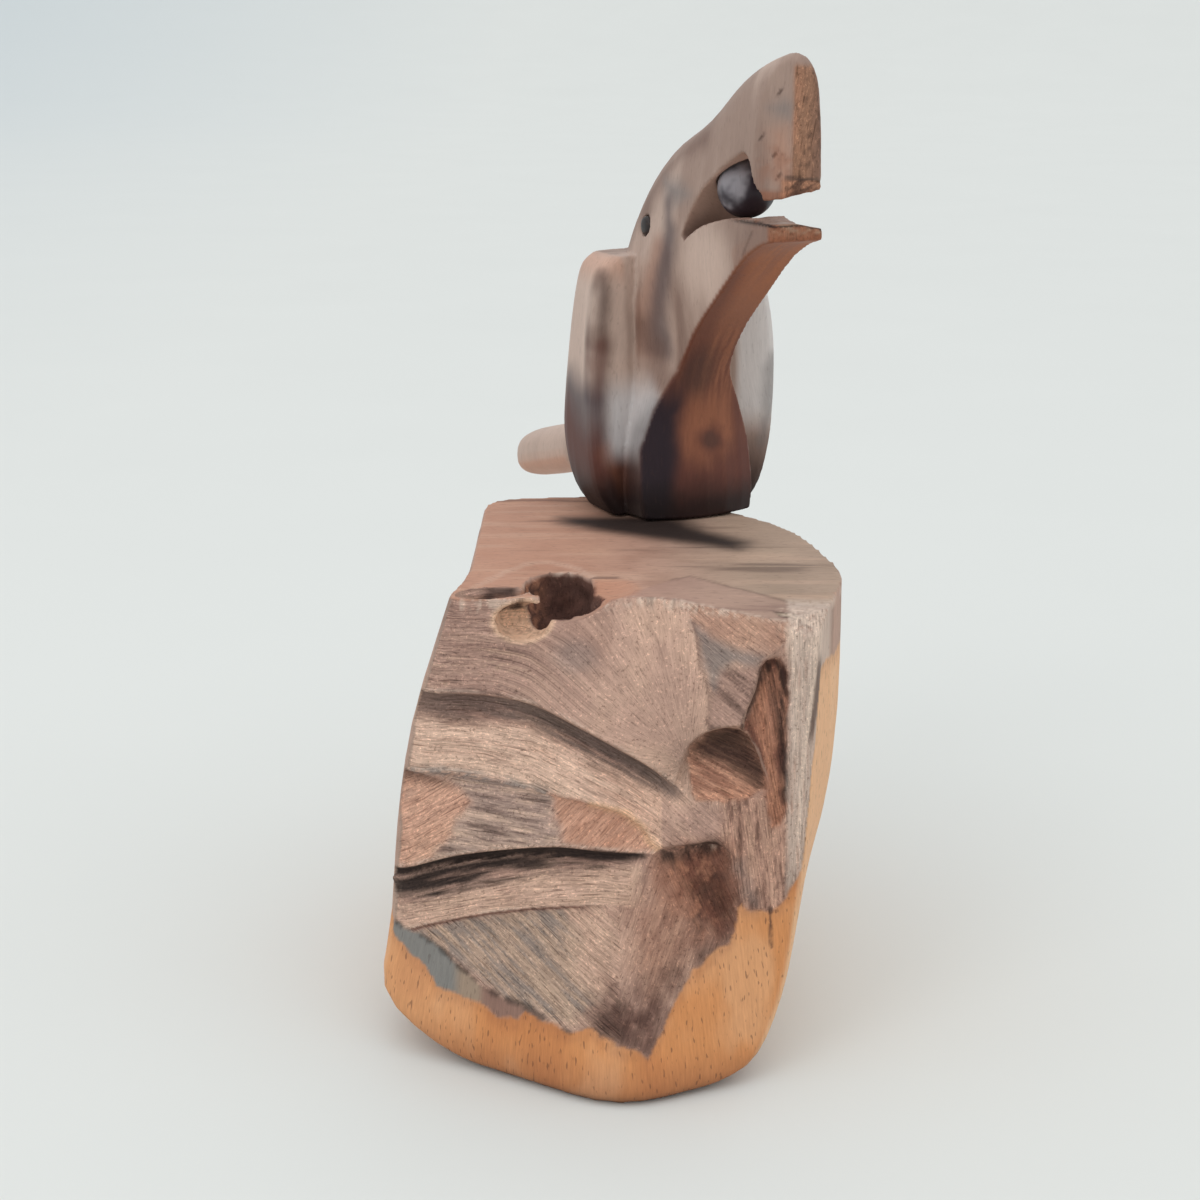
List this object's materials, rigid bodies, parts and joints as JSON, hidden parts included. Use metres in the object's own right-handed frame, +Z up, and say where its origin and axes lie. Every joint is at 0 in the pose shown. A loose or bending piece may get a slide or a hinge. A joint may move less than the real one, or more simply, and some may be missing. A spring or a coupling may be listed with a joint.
{
  "type": "carved wooden toucan ornament",
  "caption": "Carved hardwood toucan with a loose ball trapped in its beak, doweled onto a rough-hewn log block that stands on its flat underside; a shelf ornament.",
  "frame": {"origin": "on the block's flat underside, under the middle of the block", "axes": "+Z up, the block's hewn front looks toward -Y, +X to the right of someone facing that front"},
  "size_m": [0.0704, 0.1331, 0.1468],
  "materials": {
    "block_wood": "hewn, unsealed",
    "bird_wood": "sanded and waxed, satin",
    "ball_wood": "polished, satin",
    "eye_wood": "polished",
    "dowel_wood": "plain, hidden"
  },
  "bodies": {
    "carving": {"base_block": "block_wood", "toucan_body": "bird_wood", "dowel_front": "dowel_wood", "dowel_rear": "dowel_wood", "eye_peg_left": "eye_wood", "eye_peg_right": "eye_wood"},
    "ball": {"beak_ball": "ball_wood"}
  },
  "joints": [
    {"name": "ball_roll", "type": "slide", "parent": "carving", "child": "ball", "axis": [0.4484, -0.88, 0.1564], "range_m": [0, 0.0024]}
  ]
}
